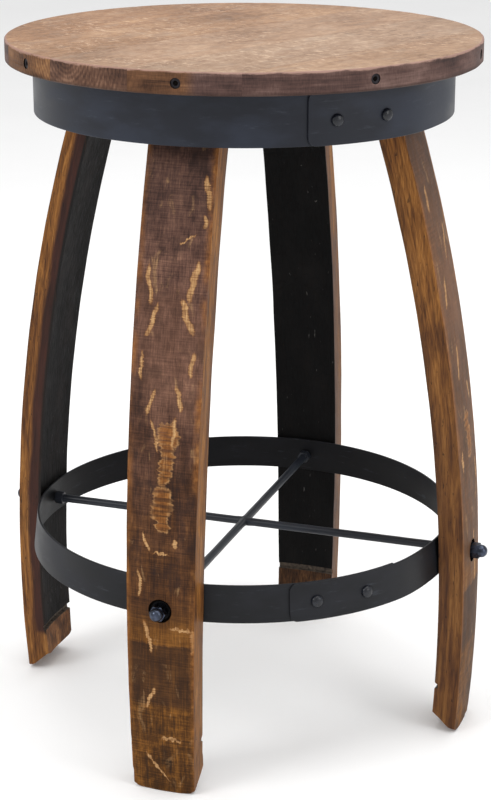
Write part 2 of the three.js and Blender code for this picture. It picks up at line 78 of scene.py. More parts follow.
class Look:
    """A material whose patterns are in millimetres of its object's own coordinates."""

    def __init__(self, name, roughness=0.5, metallic=0.0, specular=0.5, turn_deg=0.0):
        self.mat = bpy.data.materials.new(name)
        self.mat.use_nodes = True
        self.tree = self.mat.node_tree
        self.bsdf = self.tree.nodes["Principled BSDF"]
        self.bsdf.inputs["Roughness"].default_value = roughness
        self.bsdf.inputs["Metallic"].default_value = metallic
        self.bsdf.inputs["Specular IOR Level"].default_value = specular
        coord = self.node("ShaderNodeTexCoord")
        scale = self.node("ShaderNodeVectorMath", operation="SCALE")
        self.tree.links.new(coord.outputs["Object"], scale.inputs[0])
        scale.inputs["Scale"].default_value = 1000.0
        self.place = scale.outputs[0]
        if turn_deg:  # patterns laid out along a board that is turned in the frame
            spin = self.node("ShaderNodeVectorRotate", rotation_type="Z_AXIS")
            self.tree.links.new(self.place, spin.inputs["Vector"])
            spin.inputs["Angle"].default_value = -math.radians(turn_deg)
            self.place = spin.outputs[0]
        split = self.node("ShaderNodeSeparateXYZ")
        self.tree.links.new(self.place, split.inputs[0])
        self.x, self.y, self.z = split.outputs

    def node(self, kind, **props):
        n = self.tree.nodes.new(kind)
        for key, value in props.items():
            setattr(n, key, value)
        return n

    def feed(self, socket, value):
        if isinstance(value, bpy.types.NodeSocket):
            self.tree.links.new(value, socket)
        else:
            socket.default_value = value

    def math(self, op, a, b=0.0, c=0.0):
        n = self.node("ShaderNodeMath", operation=op)
        for socket, value in zip(n.inputs, (a, b, c)):
            self.feed(socket, value)
        return n.outputs[0]

    def stretch(self, sx, sy, sz, shift=(0.0, 0.0, 0.0)):
        n = self.node("ShaderNodeMapping")
        self.feed(n.inputs["Vector"], self.place)
        n.inputs["Scale"].default_value = (sx, sy, sz)
        n.inputs["Location"].default_value = shift
        return n.outputs[0]

    def noise(self, vector, detail=3.0, rough=0.55, warp=0.0):
        n = self.node("ShaderNodeTexNoise")
        self.feed(n.inputs["Vector"], vector)
        n.inputs["Scale"].default_value = 1.0
        n.inputs["Detail"].default_value = detail
        n.inputs["Roughness"].default_value = rough
        n.inputs["Distortion"].default_value = warp
        return n.outputs["Fac"]

    def rise(self, value, low, high, to_low=0.0, to_high=1.0):
        n = self.node("ShaderNodeMapRange", interpolation_type="SMOOTHSTEP")
        self.feed(n.inputs["Value"], value)
        n.inputs["From Min"].default_value = low
        n.inputs["From Max"].default_value = high
        n.inputs["To Min"].default_value = to_low
        n.inputs["To Max"].default_value = to_high
        return n.outputs["Result"]

    def ramp(self, fac, *stops):
        n = self.node("ShaderNodeValToRGB")
        self.feed(n.inputs[0], fac)
        elements = n.color_ramp.elements
        while len(elements) < len(stops):
            elements.new(0.5)
        for e, (at, color) in zip(elements, stops):
            e.position, e.color = at, color
        return n.outputs["Color"]

    def mix(self, fac, a, b):
        n = self.node("ShaderNodeMix", data_type="RGBA")
        self.feed(n.inputs[0], fac)
        self.feed(n.inputs[6], a)
        self.feed(n.inputs[7], b)
        return n.outputs[2]

    def times(self, *values):
        out = values[0]
        for v in values[1:]:
            out = self.math("MULTIPLY", out, v)
        return out

    def blend(self, *parts):
        """The sum of (value, weight) pairs."""
        out = self.times(*parts[0])
        for value, weight in parts[1:]:
            out = self.math("ADD", out, self.times(value, weight))
        return out

    def centred(self, value):
        return self.math("SUBTRACT", value, 0.5)

    def most(self, *values):
        out = values[0]
        for v in values[1:]:
            out = self.math("MAXIMUM", out, v)
        return out

    def bump(self, height, depth_mm, strength):
        n = self.node("ShaderNodeBump")
        n.inputs["Strength"].default_value = strength
        n.inputs["Distance"].default_value = depth_mm * MM
        self.feed(n.inputs["Height"], height)
        return n.outputs["Normal"]

    def finish(self, color, rough=None, normal=None):
        self.feed(self.bsdf.inputs["Base Color"], color)
        if rough is not None:
            self.feed(self.bsdf.inputs["Roughness"], rough)
        if normal is not None:
            self.feed(self.bsdf.inputs["Normal"], normal)
        return self.mat


# ---------------------------------------------------------------- mesh helpers
def smooth(obj, sharp_deg):
    for poly in obj.data.polygons:
        poly.use_smooth = True
    obj.data.set_sharp_from_angle(angle=math.radians(sharp_deg))


def ease_edges(obj, width, segments, over_deg):
    mod = obj.modifiers.new("edge", "BEVEL")
    mod.width = width
    mod.segments = segments
    mod.limit_method = "ANGLE"
    mod.angle_limit = math.radians(over_deg)


def make(name, bm, materials, slot, replaces, smooth_deg=35, bevel=0.0):
    """An object from bm, marked with its slot and with the CAD nodes it stands for."""
    mesh = bpy.data.meshes.new(name)
    bm.normal_update()
    bm.to_mesh(mesh)
    bm.free()
    for m in materials:
        mesh.materials.append(m)
    obj = bpy.data.objects.new(name, mesh)
    bpy.context.scene.collection.objects.link(obj)
    if bevel:
        ease_edges(obj, bevel, 2, 40)
    smooth(obj, smooth_deg)
    obj["kit_slot"] = slot
    obj["kit_replaces"] = list(replaces)
    return obj


def settle(obj, turn_deg=0.0):
    """Turns a piece about the stool's axis, then fixes it to the frame."""
    obj.rotation_euler = (0, 0, math.radians(turn_deg))
    bpy.context.view_layer.update()
    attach(obj, "root")
    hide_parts(*obj["kit_replaces"])
    del obj["kit_slot"]
    del obj["kit_replaces"]


def round_ring(bm, radius, at, sides):
    """A ring of points about -Y, or one point where the radius is 0."""
    if radius < 1e-7:
        return [bm.verts.new((0, -at, 0))]
    angles = [2 * math.pi * i / sides for i in range(sides)]
    return [bm.verts.new((radius * math.cos(a), -at, radius * math.sin(a))) for a in angles]


def turned(outline, sides):
    """A turned shape about -Y: outline is (radius, distance outwards) in metres."""
    bm = bmesh.new()
    rings = [round_ring(bm, r, at, sides) for r, at in outline]
    for a, b in zip(rings, rings[1:]):
        for i in range(sides):
            j = (i + 1) % sides
            quad = [a[i % len(a)], a[j % len(a)], b[j % len(b)], b[i % len(b)]]
            unique = list(dict.fromkeys(quad))
            if len(unique) > 2:
                bm.faces.new(unique)
    bmesh.ops.recalc_face_normals(bm, faces=bm.faces)
    return bm


def bridged(bm, rings):
    """Closes a stack of equal rings: walls between them, and a flat face at each end."""
    for a, b in zip(rings, rings[1:]):
        for i in range(len(a)):
            j = (i + 1) % len(a)
            bm.faces.new((a[i], a[j], b[j], b[i]))
    bm.faces.new(rings[0])
    bm.faces.new(list(reversed(rings[-1])))
    bmesh.ops.recalc_face_normals(bm, faces=bm.faces)
    return bm


def move(bm, y=0.0, z=0.0):
    bmesh.ops.translate(bm, verts=bm.verts, vec=(0, y, z))
    return bm


def spin(bm, deg, axis="Z"):
    matrix = Matrix.Rotation(math.radians(deg), 3, axis)
    bmesh.ops.rotate(bm, verts=bm.verts, cent=(0, 0, 0), matrix=matrix)
    return bm


def outward(deg):
    return Vector((math.sin(math.radians(deg)), -math.cos(math.radians(deg)), 0))


# ---------------------------------------------------------------- the stool's sizes, from the CAD
HEIGHT = 660 * MM
SEAT_R = 219 * MM
SEAT_T = 19.7 * MM
SEAT_MID = HEIGHT - SEAT_T / 2
BOARD_TURN = -23
BOARD_JOINTS = (-113, -27, 59, 145)  # mm across the boards
JOINT_GAP = 0.06  # mm off each side
HOLE_R, HOLE_DEPTH = 4.5 * MM, 1.8 * MM  # the screw holes in the rim
EDGE_SCREWS = 8
EDGE_SCREW_START = 4
SCREW_HEAD = 218 * MM

# a leg's outer face is an arc: its radius, the height of its widest point, and its reach there
ARC_R = 1590 * MM
ARC_Z = 120 * MM
REACH = 232 * MM
THICK = 24 * MM
TOP_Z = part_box("leg_front")[1].z
FOOT_RISE = 16 * MM  # the foot is cut at a slant that leaves a narrow flat land
FOOT_LAND = 5 * MM
GROOVE_Z = 45 * MM
GROOVE_W = 6.5 * MM
GROOVE_D = 4 * MM
LEGS = (("front", 0), ("right", 90), ("back", 180), ("left", 270))

ROD_Z = 181 * MM
ROD_R = 4 * MM
BORE_R = 4.4 * MM
POCKET_R = 11 * MM
POCKET_DEPTH = 4 * MM
WASHER_T = 1.4 * MM
NUT_FLATS, NUT_LENGTH = 13.4 * MM, 9.5 * MM
LOCK_FLATS, LOCK_LENGTH = 11 * MM, 8 * MM

STRIP = 2 * MM
GAP = 0.3 * MM
Hoop = namedtuple("Hoop", "radius lap_start bottom top spread")
APRON = Hoop(194 * MM, 34.9, 592.7 * MM, 639.4 * MM, 0.0)
FOOT = Hoop(205 * MM, 30.4, 164 * MM, 199 * MM, 2.0 * MM)


def outer_r(z):
    return REACH - ARC_R + math.sqrt(ARC_R ** 2 - (z - ARC_Z) ** 2)


def inner_r(z):
    return REACH - ARC_R + math.sqrt((ARC_R - THICK) ** 2 - (z - ARC_Z) ** 2)


FACE_R = outer_r(ROD_Z)  # reach of a leg's outer face at the rods


# ---------------------------------------------------------------- wood looks
# Lengths are in mm here, and a pattern's stretch is how many of its features fit in a mm.
BAND_LOW, BAND_HIGH = 88, 148  # the mark of an old hoop on a leg
BARE_TOP = 190  # where the bare wood above it ends


def fleck_field(k, flecks, off, row=0.9, reach=3.6):
    """How deep inside the nearest fleck a point is: 0 outside, rising to 2 in its middle.

    A fleck is its place across, its height, half width, half length and lean. Its sides have teeth of
    up to about half of reach that follow rows across the grain, row of them in a mm.
    """
    wobble_x = k.times(k.centred(k.noise(k.stretch(0.03, 0.03, 0.05, off), detail=2)), 11.0)
    wobble_z = k.times(k.centred(k.noise(k.stretch(0.25, 0.1, 0.1, off), detail=2)), 9.0)
    teeth = k.times(k.centred(k.noise(k.stretch(0.06, 0.06, row, off), detail=3)), reach)
    px = k.math("ADD", k.math("ADD", k.x, wobble_x), teeth)
    pz = k.math("ADD", k.z, wobble_z)
    field = None
    for cx, cz, half_w, half_l, lean in flecks:
        dz = k.math("SUBTRACT", pz, cz)
        dx = k.math("SUBTRACT", k.math("SUBTRACT", px, cx), k.times(dz, lean))
        across = k.math("POWER", k.math("ABSOLUTE", k.math("DIVIDE", dx, half_w)), 2.0)
        along = k.math("POWER", k.math("ABSOLUTE", k.math("DIVIDE", dz, half_l)), 4.0)
        inside = k.rise(k.math("ADD", across, along), 2.2, 0.0, 0.0, 2.0)
        field = inside if field is None else k.most(field, inside)
    return field


def stave_face(name, seed, flecks, patches, purple, wash):
    """The weathered outer face: saw lines, grain, wood worn through, the mark of an old hoop, and painted
    shade under the apron hoop.
    """
    k = Look(name, roughness=0.6, specular=0.14)
    off = (seed * 37.0, seed * 11.0, seed * 53.0)
    saw = k.noise(k.stretch(0.03, 0.05, 1.1, off), detail=2, rough=0.6)
    fine = k.noise(k.stretch(0.8, 0.3, 0.022, off), detail=5, rough=0.7)
    cloth = k.noise(k.stretch(0.25, 0.2, 0.25, off), detail=3)
    mottle = k.noise(k.stretch(0.11, 0.1, 0.05, off), detail=6, rough=0.7)
    broad = k.noise(k.stretch(0.035, 0.03, 0.014, off), detail=4)
    tone = k.blend((saw, 0.2), (fine, 0.3), (broad, 0.22), (mottle, 0.28))
    plum = k.ramp(tone, (0.36, srgb(32, 20, 18)), (0.46, srgb(74, 50, 42)),
                  (0.54, srgb(104, 74, 62)), (0.66, srgb(148, 110, 88)))
    brown = k.ramp(tone, (0.36, srgb(22, 11, 5)), (0.46, srgb(54, 31, 16)),
                   (0.55, srgb(84, 52, 26)), (0.68, srgb(130, 85, 44)))
    amber = k.ramp(k.blend((fine, 0.5), (cloth, 0.5)),
                   (0.3, srgb(84, 47, 18)), (0.5, srgb(138, 86, 38)), (0.7, srgb(180, 124, 64)))
    pale = k.ramp(fine, (0.3, srgb(150, 106, 62)), (0.7, srgb(214, 174, 124)))
    # plum above, browner towards the floor, in a ragged blend
    ragged = k.math("ADD", k.z, k.times(k.centred(broad), 300.0))
    color = k.mix(k.times(k.rise(ragged, 220.0, 440.0), purple), brown, plum)
    bruises = k.noise(k.stretch(0.035, 0.03, 0.03, (off[2], off[1], off[0])), detail=5, rough=0.65)
    color = k.mix(k.times(k.rise(bruises, 0.5, 0.64), 0.5), color, srgb(40, 27, 24))
    middle = k.times(k.rise(ragged, 340.0, 400.0), k.rise(ragged, 500.0, 440.0))
    color = k.mix(k.times(middle, 0.12), color, srgb(150, 106, 78))
    color = k.mix(wash, color, srgb(150, 112, 82))
    # painted shade: darker towards the apron hoop, and a painted shadow right under it
    color = k.mix(k.times(k.rise(k.z, 480.0, 560.0), 0.28), color, srgb(30, 24, 26))
    color = k.mix(k.times(k.rise(k.z, 572.0, 594.0), 0.55), color, srgb(24, 17, 17))
    # mark of the old hoop: bare gold above, then a dark stained band, then amber down to the floor
    edge = k.math("ADD", k.z, k.times(k.centred(mottle), 7.0))
    band = k.times(k.rise(edge, BAND_LOW - 4, BAND_LOW + 5),
                   k.rise(edge, BAND_HIGH + 1.5, BAND_HIGH - 1.5))
    bare = k.times(k.rise(edge, BAND_HIGH - 1, BAND_HIGH + 2), k.rise(edge, BARE_TOP, BARE_TOP - 34))
    low = k.rise(edge, BAND_LOW + 6, BAND_LOW - 2)
    tan = k.ramp(tone, (0.36, srgb(50, 26, 6)), (0.48, srgb(102, 63, 20)), (0.64, srgb(154, 102, 42)))
    foot = k.ramp(tone, (0.38, srgb(26, 12, 2)), (0.5, srgb(78, 47, 13)), (0.64, srgb(146, 94, 34)))
    dark = k.ramp(tone, (0.36, srgb(28, 14, 5)), (0.5, srgb(63, 38, 17)), (0.66, srgb(100, 65, 30)))
    color = k.mix(k.times(bare, 0.8), color, tan)
    color = k.mix(k.times(low, 0.85), color, foot)
    color = k.mix(k.times(low, k.rise(mottle, 0.5, 0.6), 0.45), color, tan)
    color = k.mix(k.times(band, 0.85), color, dark)
    # wide patches: amber crossed by dark rungs, with paler sides
    wide = fleck_field(k, patches, off, 0.3, 13.0)
    rungs = k.noise(k.stretch(0.02, 0.05, 0.3, off), detail=2, rough=0.6)
    between = k.rise(rungs, 0.6, 0.47, 0.3, 1.0)
    color = k.mix(k.times(k.rise(wide, 0.0, 1.0), between, 0.75), color, amber)
    sides = k.times(k.rise(wide, 0.05, 0.7), k.rise(wide, 1.7, 0.8), between)
    color = k.mix(k.times(sides, 0.4), color, pale)
    # narrow flecks where the grain is worn through: a pale core in an amber halo
    field = fleck_field(k, flecks, off)
    torn = k.rise(k.blend((saw, 0.7), (fine, 0.3)), 0.36, 0.6)
    strays = k.noise(k.stretch(0.085, 0.06, 0.03, (off[2], off[0], off[1])), detail=5, warp=0.8)
    halo = k.times(k.rise(field, 0.0, 1.5), k.math("ADD", 0.35, k.times(torn, 0.35)))
    color = k.mix(halo, color, amber)
    core = k.most(k.rise(field, 0.5, 2.0), k.times(k.rise(strays, 0.6, 0.72), 0.45))
    color = k.mix(k.times(core, k.math("ADD", 0.25, k.times(torn, 0.65))), color, pale)
    # worn arrises
    side = k.math("ABSOLUTE", k.math("ADD", k.x, k.times(k.centred(cloth), 4.0)))
    rubbed = k.rise(k.noise(k.stretch(0.05, 0.05, 0.02, off)), 0.36, 0.58)
    color = k.mix(k.times(k.rise(side, 25.5, 33.0), rubbed, 0.75), color, amber)
    # dark pores and thin cuts
    pores = k.rise(k.noise(k.stretch(1.4, 0.5, 0.05, off), detail=3), 0.6, 0.72)
    cuts = k.noise(k.stretch(0.06, 0.1, 1.5, (off[1], off[2], off[0])), detail=2)
    color = k.mix(k.times(pores, 0.55), color, srgb(20, 11, 7))
    color = k.mix(k.times(k.rise(cuts, 0.6, 0.72), 0.16), color, srgb(28, 17, 12))
    relief = k.blend((saw, 0.3), (fine, 0.5), (mottle, 0.9))
    return k.finish(color, k.rise(fine, 0.3, 0.7, 0.5, 0.72), k.bump(relief, 0.5, 0.9))


def stave_side(name, seed, burnt, dull):
    """The sawn edge of a stave: golden brown outside, reddening towards the charred inside."""
    k = Look(name, roughness=0.55, specular=0.2)
    off = (seed * 19.0, seed * 31.0, seed * 7.0)
    # depth below the outer face, following the stave's curve
    arc = k.math("SUBTRACT", k.z, ARC_Z / MM)
    bow = k.math("DIVIDE", k.math("MULTIPLY", arc, arc), 2 * ARC_R / MM - 80)
    depth = k.math("ADD", k.math("SUBTRACT", k.y, bow), REACH / MM)
    grain = k.node("ShaderNodeCombineXYZ")
    k.feed(grain.inputs[0], k.times(depth, 0.3))
    k.feed(grain.inputs[1], k.times(k.z, 0.02))
    k.feed(grain.inputs[2], k.math("ADD", k.times(k.x, 0.02), seed * 5.0))
    lines = k.noise(grain.outputs[0], detail=6, rough=0.62, warp=0.7)
    fine = k.noise(k.stretch(0.5, 1.4, 0.07, off), detail=3)
    broad = k.noise(k.stretch(0.02, 0.05, 0.014, off), detail=3)
    tone = k.blend((lines, 0.5), (fine, 0.25), (broad, 0.25))
    wood = k.ramp(tone, (0.37, srgb(58, 29, 10)), (0.46, srgb(106, 65, 27)),
                  (0.54, srgb(138, 90, 40)), (0.66, srgb(180, 128, 68)))
    red = k.ramp(tone, (0.34, srgb(22, 10, 8)), (0.6, srgb(66, 34, 25)))
    inside = k.math("ADD", depth, k.times(k.centred(broad), 14.0))
    above_groove = k.rise(k.z, (GROOVE_Z - 8 * MM) / MM, GROOVE_Z / MM)
    toasted = k.rise(inside, 16.0 - 6.0 * burnt, 21.0 - 5.0 * burnt)
    color = k.mix(k.times(toasted, k.most(above_groove, 0.2), burnt), wood, red)
    color = k.mix(k.times(k.rise(depth, 21.5, 24.0), above_groove, burnt), color, srgb(12, 10, 9))
    streaks = k.noise(k.stretch(0.2, 0.35, 0.03, off), detail=4)
    color = k.mix(k.times(k.rise(streaks, 0.56, 0.68), 0.45), color, srgb(48, 25, 11))
    downwards = k.rise(k.math("ADD", k.z, k.times(broad, 300.0)), 620.0, 420.0)
    color = k.mix(k.times(downwards, dull), color, srgb(62, 36, 20))
    cracks = k.noise(k.stretch(0.5, 0.6, 0.16, (off[1], off[0], off[2])), detail=3, warp=0.5)
    open_cracks = k.rise(cracks, 0.64, 0.7)
    color = k.mix(k.times(open_cracks, 0.7), color, srgb(22, 12, 8))
    relief = k.blend((lines, 0.6), (fine, 0.4), (open_cracks, -0.4))
    return k.finish(color, k.rise(fine, 0.3, 0.7, 0.42, 0.65), k.bump(relief, 0.4, 0.8))


def charred(name, seed, painted_shade):
    """The inside of the stave, toasted black with a faint crackle and a few scratches."""
    k = Look(name, roughness=0.75, specular=0.1)
    off = (seed * 3.0, seed * 17.0, seed * 29.0)
    crackle = k.node("ShaderNodeTexVoronoi", feature="DISTANCE_TO_EDGE")
    k.feed(crackle.inputs["Vector"], k.stretch(0.16, 0.16, 0.07, off))
    crackle.inputs["Scale"].default_value = 1.0
    seams = k.rise(crackle.outputs["Distance"], 0.0, 0.09)
    fine = k.noise(k.stretch(0.7, 0.4, 0.05, off), detail=4)
    broad = k.noise(k.stretch(0.03, 0.03, 0.016, off), detail=3)
    # painted_shade below 1 darkens the char all over as painted shade, most on the back leg
    color = k.ramp(k.blend((fine, 0.5), (broad, 0.5)), *tinted(
        (painted_shade, painted_shade, painted_shade), (0.35, (10, 10, 10)), (0.52, (24, 22, 22)), (0.7, (46, 41, 39))))
    color = k.mix(k.times(k.math("SUBTRACT", 1.0, seams), 0.4), color, srgb(6, 6, 6))
    scratches = k.noise(k.stretch(0.35, 0.35, 0.07, (off[2], off[0], off[1])), detail=2, warp=0.6)
    color = k.mix(k.times(k.rise(scratches, 0.71, 0.76), 0.3), color, srgb(128, 124, 120))
    relief = k.blend((seams, 0.4), (fine, 0.6))
    return k.finish(color, k.rise(fine, 0.3, 0.7, 0.6, 0.85), k.bump(relief, 0.4, 0.6))


def chime_wood(name, seed, painted_shade):
    """Bare brown end of the stave below the groove, and its cut end."""
    k = Look(name, roughness=0.65, specular=0.15)
    off = (seed * 13.0, seed * 5.0, seed * 23.0)
    fine = k.noise(k.stretch(0.8, 0.8, 0.12, off), detail=4)
    broad = k.noise(k.stretch(0.07, 0.07, 0.04, off), detail=4)
    tone = k.blend((fine, 0.5), (broad, 0.5))
    # painted_shade below 1 darkens the bare end as painted shade on the back leg
    color = k.ramp(tone, *tinted((painted_shade, painted_shade, painted_shade), (0.36, (42, 23, 12)), (0.5, (100, 64, 37)),
                                 (0.64, (154, 108, 67))))
    return k.finish(color, k.rise(fine, 0.3, 0.7, 0.55, 0.75), k.bump(tone, 0.6, 0.8))


def pocket_look():
    """The walls of the bores, counterbores and screw holes, painted near black as painted shade."""
    k = Look("leg_pocket_painted_shade", roughness=0.9, specular=0.05)
    fine = k.noise(k.stretch(0.8, 0.8, 0.8), detail=3)
    color = k.ramp(fine, (0.3, srgb(5, 4, 4)), (0.7, srgb(20, 15, 12)))
    return k.finish(color, k.rise(fine, 0.3, 0.7, 0.8, 0.95), k.bump(fine, 0.3, 0.5))


def groove_look():
    k = Look("leg_groove_dust", roughness=0.9)
    dust = k.noise(k.stretch(0.3, 0.3, 0.3))
    return k.finish(k.ramp(dust, (0.3, srgb(38, 31, 27)), (0.7, srgb(92, 80, 68))))


def seat_top_look(name, seed, tint):
    """Sanded oak top: the grain runs along the boards, with pale ray flecks across it."""
    k = Look(name, roughness=0.62, specular=0.3, turn_deg=BOARD_TURN)
    a, b, c = seed * 41.0, seed * 13.0, seed * 3.0
    off = (a, b, c)
    grain = k.noise(k.stretch(0.22, 0.03, 0.3, off), detail=7, rough=0.7, warp=0.5)
    fine = k.noise(k.stretch(1.1, 0.12, 1.0, off), detail=4, rough=0.65)
    mottle = k.noise(k.stretch(0.15, 0.1, 0.05, off), detail=8, rough=0.7)
    broad = k.noise(k.stretch(0.013, 0.009, 0.01, off), detail=3)
    tone = k.blend((grain, 0.2), (fine, 0.14), (mottle, 0.34), (broad, 0.32))
    color = k.ramp(tone, *tinted(tint, (0.37, (96, 69, 51)), (0.45, (134, 104, 80)),
                                 (0.52, (153, 122, 97)), (0.63, (182, 153, 127))))
    dashes = k.noise(k.stretch(0.09, 0.24, 0.05, (b, a, 0.0)), detail=5, rough=0.65, warp=0.9)
    where = k.rise(k.noise(k.stretch(0.018, 0.012, 0.01, (b, c, 0.0)), detail=3), 0.38, 0.6)
    rays = k.times(k.rise(dashes, 0.55, 0.6), where)
    color = k.mix(k.times(rays, 0.5), color, srgb(206, 178, 152))
    pits = k.rise(k.noise(k.stretch(0.3, 0.2, 0.3, (a, c, b)), detail=3), 0.68, 0.73)
    color = k.mix(k.times(pits, 0.5), color, srgb(84, 56, 42))
    pores = k.rise(k.noise(k.stretch(1.6, 0.22, 1.0, off), detail=3), 0.58, 0.7)
    color = k.mix(k.times(pores, 0.25), color, srgb(92, 64, 47))
    stain = k.noise(k.stretch(0.04, 0.02, 0.01, (c, b, a)), detail=7, rough=0.72, warp=0.6)
    color = k.mix(k.times(k.rise(stain, 0.5, 0.66), 0.35), color, srgb(116, 84, 64))
    grey = k.noise(k.stretch(0.05, 0.025, 0.01, (a, c, b)), detail=6, rough=0.7)
    color = k.mix(k.times(k.rise(grey, 0.5, 0.64), 0.3), color, srgb(146, 128, 112))
    relief = k.blend((mottle, 0.4), (grain, 0.5), (pores, -0.4))
    return k.finish(color, k.rise(fine, 0.3, 0.7, 0.52, 0.72), k.bump(relief, 0.3, 0.5))


def growth_rings(k, shift):
    """Rings about a pith that runs along the board, some way above it."""
    rings = k.node("ShaderNodeTexWave", wave_type="RINGS", rings_direction="Y", wave_profile="SIN")
    k.feed(rings.inputs["Vector"], k.stretch(1.0, 0.02, 1.0, (shift, 0.0, -666.0)))
    rings.inputs["Scale"].default_value = 0.08
    rings.inputs["Distortion"].default_value = 4.0
    rings.inputs["Detail"].default_value = 3.0
    rings.inputs["Detail Scale"].default_value = 0.6
    return rings.outputs["Fac"]


def seat_edge_look(name, seed, left_dark, right_dark):
    """The rim: end grain where a board's end shows, streaks along it where its side does.

    left_dark and right_dark say how plum it is on either side of a colour break 110 mm across.
    """
    k = Look(name, roughness=0.6, specular=0.18, turn_deg=BOARD_TURN)
    off = (seed * 7.0, seed * 43.0, seed * 2.0)
    rings = growth_rings(k, off[0] * 0.2)
    side_grain = k.rise(k.math("ABSOLUTE", k.math("ADD", k.x, 20.0)), 50.0, 95.0)
    end_fuzz = k.noise(k.stretch(0.9, 0.9, 0.2, off), detail=4)
    streaks = k.noise(k.stretch(0.02, 0.02, 0.55, off), detail=5, rough=0.65, warp=0.3)
    broad = k.noise(k.stretch(0.02, 0.02, 0.05, off), detail=4)
    along = k.blend((streaks, 0.3), (end_fuzz, 0.15), (broad, 0.55))
    ends = k.blend((k.centred(rings), 0.06), (end_fuzz, 0.35), (broad, 0.65))
    tone = k.math("MULTIPLY_ADD", side_grain, k.math("SUBTRACT", along, ends), ends)
    warm = k.ramp(tone, (0.36, srgb(60, 36, 19)), (0.5, srgb(108, 72, 43)), (0.64, srgb(156, 113, 72)))
    plum = k.ramp(tone, (0.36, srgb(44, 31, 30)), (0.5, srgb(80, 60, 57)), (0.64, srgb(116, 94, 90)))
    color = k.mix(k.rise(k.x, 104.0, 116.0, left_dark, right_dark), warm, plum)
    # the upper corner is worn to pale wood in an uneven, torn line, and the lower one is darkened with a
    # painted shadow
    tear = k.noise(k.stretch(0.05, 0.05, 0.3, off), detail=5, rough=0.7)
    worn = k.rise(k.math("ADD", k.z, k.times(k.centred(tear), 7.0)), 658.0, 659.6)
    color = k.mix(k.times(worn, 0.65), color, srgb(170, 136, 122))
    color = k.mix(k.times(k.rise(k.z, 644.5, 640.5), 0.6), color, srgb(44, 30, 25))
    return k.finish(color, k.rise(streaks, 0.3, 0.7, 0.5, 0.7), k.bump(tone, 0.5, 0.8))


def plain_wood(name, base, along):
    """Plain wood for the hidden pieces, with its grain along x or y."""
    k = Look(name, roughness=0.7, specular=0.3)
    sx, sy = (0.02, 0.7) if along == "x" else (0.7, 0.02)
    grain = k.noise(k.stretch(sx, sy, 0.7), detail=4, warp=0.3)
    color = k.ramp(grain, *tinted((0.7, 0.66, 0.6), (0.3, base)), *tinted((1, 1, 1), (0.5, base)),
                   *tinted((1.15, 1.14, 1.1), (0.7, base)))
    return k.finish(color, k.rise(grain, 0.3, 0.7, 0.6, 0.8), k.bump(grain, 0.2, 0.5))


# ---------------------------------------------------------------- metal looks
def painted_steel(name, dark, light, rough, specular):
    """Clouded dark paint with rubbed streaks, specks and a slight orange peel."""
    k = Look(name, roughness=rough, metallic=0.0, specular=specular)
    cloud = k.noise(k.stretch(0.012, 0.012, 0.03), detail=4)
    grit = k.noise(k.stretch(1.1, 1.1, 1.1), detail=2)
    speck = k.rise(k.noise(k.stretch(0.45, 0.45, 0.45), detail=2), 0.68, 0.74)
    rub = k.rise(k.noise(k.stretch(0.03, 0.03, 0.2), detail=5, rough=0.7), 0.58, 0.72)
    color = k.mix(k.rise(cloud, 0.35, 0.65), srgb(*dark), srgb(*light))
    color = k.mix(k.times(rub, 0.14), color, srgb(96, 102, 114))
    color = k.mix(k.times(speck, 0.15), color, srgb(12, 13, 16))
    peel = k.blend((grit, 0.3), (k.noise(k.stretch(0.5, 0.5, 0.5), detail=2), 1.0))
    return k.finish(color, k.rise(cloud, 0.3, 0.7, rough - 0.05, rough + 0.1), k.bump(peel, 0.08, 0.5))


def black_metal(name, base, rough, metallic, specular):
    k = Look(name, roughness=rough, metallic=metallic, specular=specular)
    grit = k.noise(k.stretch(1.6, 1.6, 1.6), detail=3)
    cloud = k.noise(k.stretch(0.2, 0.2, 0.2), detail=3)
    color = k.ramp(cloud, *tinted((0.8, 0.8, 0.8), (0.3, base)), *tinted((1.3, 1.3, 1.35), (0.7, base)))
    rough_now = k.rise(grit, 0.3, 0.7, rough - 0.08, rough + 0.12)
    return k.finish(color, rough_now, k.bump(grit, 0.05, 0.6))


APRON_PAINT = painted_steel("apron_paint", (22, 25, 34), (36, 41, 53), 0.4, 0.28)
HOOP_PAINT = painted_steel("hoop_paint", (20, 21, 24), (31, 32, 37), 0.45, 0.2)
# a darker copy of the hoop paint for the bands' inner faces: painted shade
HOOP_INSIDE_PAINTED_SHADE = painted_steel("hoop_inside_painted_shade", (9, 9, 11), (18, 18, 21), 0.5, 0.12)
ROD_PAINT = painted_steel("rod_paint", (22, 24, 30), (36, 40, 48), 0.36, 0.35)
RIVET_PAINT = black_metal("rivet_paint", (13, 16, 23), 0.28, 0.0, 0.42)
NUT_BLACK = black_metal("black_fixing", (60, 65, 75), 0.27, 1.0, 0.5)
# the screws' grey is tinted slightly brown as a painted reflection of the wood around them
SCREW_BLACK = black_metal("screw_black", (44, 42, 43), 0.4, 1.0, 0.5)
# a dull near-black for the fixings; on the washers it is painted shade in the leg pockets
DULL_BLACK = black_metal("dull_fixing", (10, 10, 12), 0.55, 0.0, 0.08)
POCKET_PAINTED_SHADE = pocket_look()
GROOVE = groove_look()

# ---------------------------------------------------------------- legs
# Worn-through marks of the front leg in mm, listed one by one.
# A pair: height, distance either side of the middle, half width, half length, lean.
FRONT_PAIRS = (
    (475, 20, 2.5, 16, 0.15), (445, 16, 2.8, 14, -0.35), (405, 23, 2, 11, 0.1),
    (375, 13, 2.4, 10, -0.2), (345, 9, 1.8, 13, 0.2),
)
# A single mark: place across, height, half width, half length, lean.
FRONT_SINGLES = (
    (27, 550, 2, 12, -0.2), (26, 525, 2, 5, 0), (12, 510, 1.3, 5, 1.2), (0, 590, 9, 1.5, 0),
    (-14, 245, 1.4, 8, -0.4), (0, 235, 6, 1.2, 0), (14, 245, 2, 4, 0), (-20, 205, 1.3, 12, 0),
    (-12, 155, 1.6, 14, -0.2), (20, 165, 10, 1.4, 0), (30, 155, 1.6, 12, 0),
    (-10, 95, 1.8, 10, 0.5), (10, 55, 10, 1.6, 0), (-5, 25, 1.2, 13, -0.8),
)
